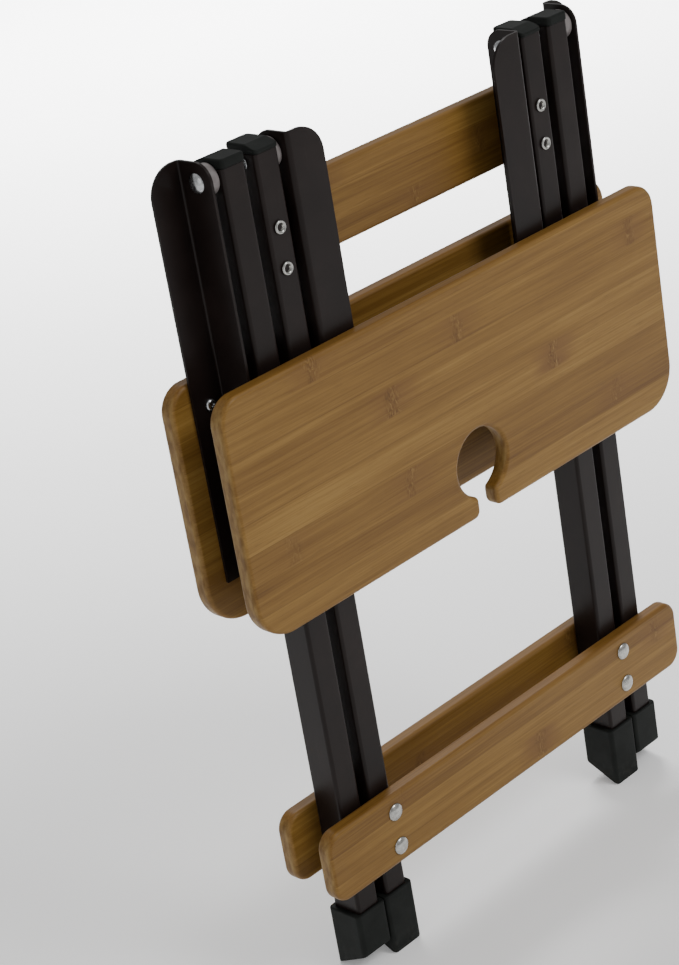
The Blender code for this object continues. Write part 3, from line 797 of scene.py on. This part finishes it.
for side, s in SIDES:
    pivot("back_leaf_pivot_" + side, s * (OUTER_WEB_X + RAIL_T),
          s * (OUTER_X - TUBE_X / 2), PIVOT_Z, "outer_frame")
    pivot("front_leaf_pivot_" + side, s * (INNER_WEB_X - RAIL_T),
          s * (INNER_X + TUBE_X / 2), PIVOT_Z, "inner_frame")
    pivot("scissor_pivot_" + side, s * (OUTER_X + TUBE_X / 2),
          s * (INNER_X - TUBE_X / 2), SCISSOR_Z, "outer_frame")
    spacer("back_leaf_spacer_" + side, s * (OUTER_X + TUBE_X / 2),
           s * OUTER_WEB_X, PIVOT_Z, "outer_frame")
    spacer("front_leaf_spacer_" + side, s * INNER_WEB_X,
           s * (INNER_X - TUBE_X / 2), PIVOT_Z, "inner_frame")
    spacer("scissor_spacer_" + side, s * (INNER_X + TUBE_X / 2),
           s * (OUTER_X - TUBE_X / 2), SCISSOR_Z, "outer_frame", 0.009)
    for level, z in zip(("upper", "lower"), SCREW_Z):
        tail = "_" + side + "_" + level
        screw("front_leaf_screw" + tail, s * FRONT_SCREW_X, z, -1,
              "front_leaf_assembly")
        screw("back_leaf_screw" + tail, s * BACK_SCREW_X, z, 1,
              "back_leaf_assembly")


# ---------------------------------------------------------------------- stage
def floor():
    g = Graph("pale_floor")
    n = g.noise(g.pos, 3.0, 2.0)
    g.set(Base_Color=g.ramp(n, [(0.3, (0.955, 0.955, 0.955)),
                                (0.7, (0.98, 0.98, 0.98))]),
          Roughness=0.85)
    g.bsdf.inputs["Emission Color"].default_value = (1, 1, 1, 1)
    g.bsdf.inputs["Emission Strength"].default_value = 0.16
    bm = bmesh.new()
    bmesh.ops.create_grid(bm, x_segments=8, y_segments=8, size=9.0)
    mesh = bpy.data.meshes.new("floor")
    bm.to_mesh(mesh)
    bm.free()
    mesh.materials.append(g.mat)
    obj = bpy.data.objects.new("floor", mesh)
    obj.location = (3.0, 3.0, 0.0)
    bpy.context.collection.objects.link(obj)


floor()

world = bpy.data.worlds.new("studio")
bpy.context.scene.world = world
world.use_nodes = True
world.node_tree.nodes["Background"].inputs[0].default_value = (1, 1, 1, 1)
world.node_tree.nodes["Background"].inputs[1].default_value = 0.44


def light(name, where, aim, size, watts, colour=(1, 1, 1), spread=180.0):
    data = bpy.data.lights.new(name, "AREA")
    data.shape = "DISK"
    data.size = size
    data.energy = watts
    data.color = colour
    data.spread = math.radians(spread)
    obj = bpy.data.objects.new(name, data)
    obj.location = where
    way = Vector(aim) - Vector(where)
    obj.rotation_euler = way.to_track_quat("-Z", "Y").to_euler()
    bpy.context.collection.objects.link(obj)


MIDDLE = (0.0, 0.0, 0.3)
light("key", (0.6, -1.9, 2.3), MIDDLE, 1.3, 34.0)
light("fill", (-2.2, -0.6, 1.1), MIDDLE, 1.6, 5.0)
light("floor_wash", (2.1, 2.5, 3.0), (2.0, 2.3, 0.0), 2.2, 230.0, spread=90.0)

# --------------------------------------------------------------------- camera
cam_data = bpy.data.cameras.new("camera")
cam_data.sensor_width = 36.0
cam_data.lens = 90.73
cam = bpy.data.objects.new("camera", cam_data)
right = Vector((0.687178, -0.709200, -0.157547))
up = Vector((0.393107, 0.180617, 0.901579))
back = right.cross(up).normalized()
up = back.cross(right).normalized()
right.normalize()
turn = Matrix((right, up, back)).transposed()
cam.matrix_world = Matrix.Translation((-1.07783, -1.08818, 0.99093)) @ turn.to_4x4()
bpy.context.collection.objects.link(cam)
bpy.context.scene.camera = cam

bpy.context.view_layer.update()
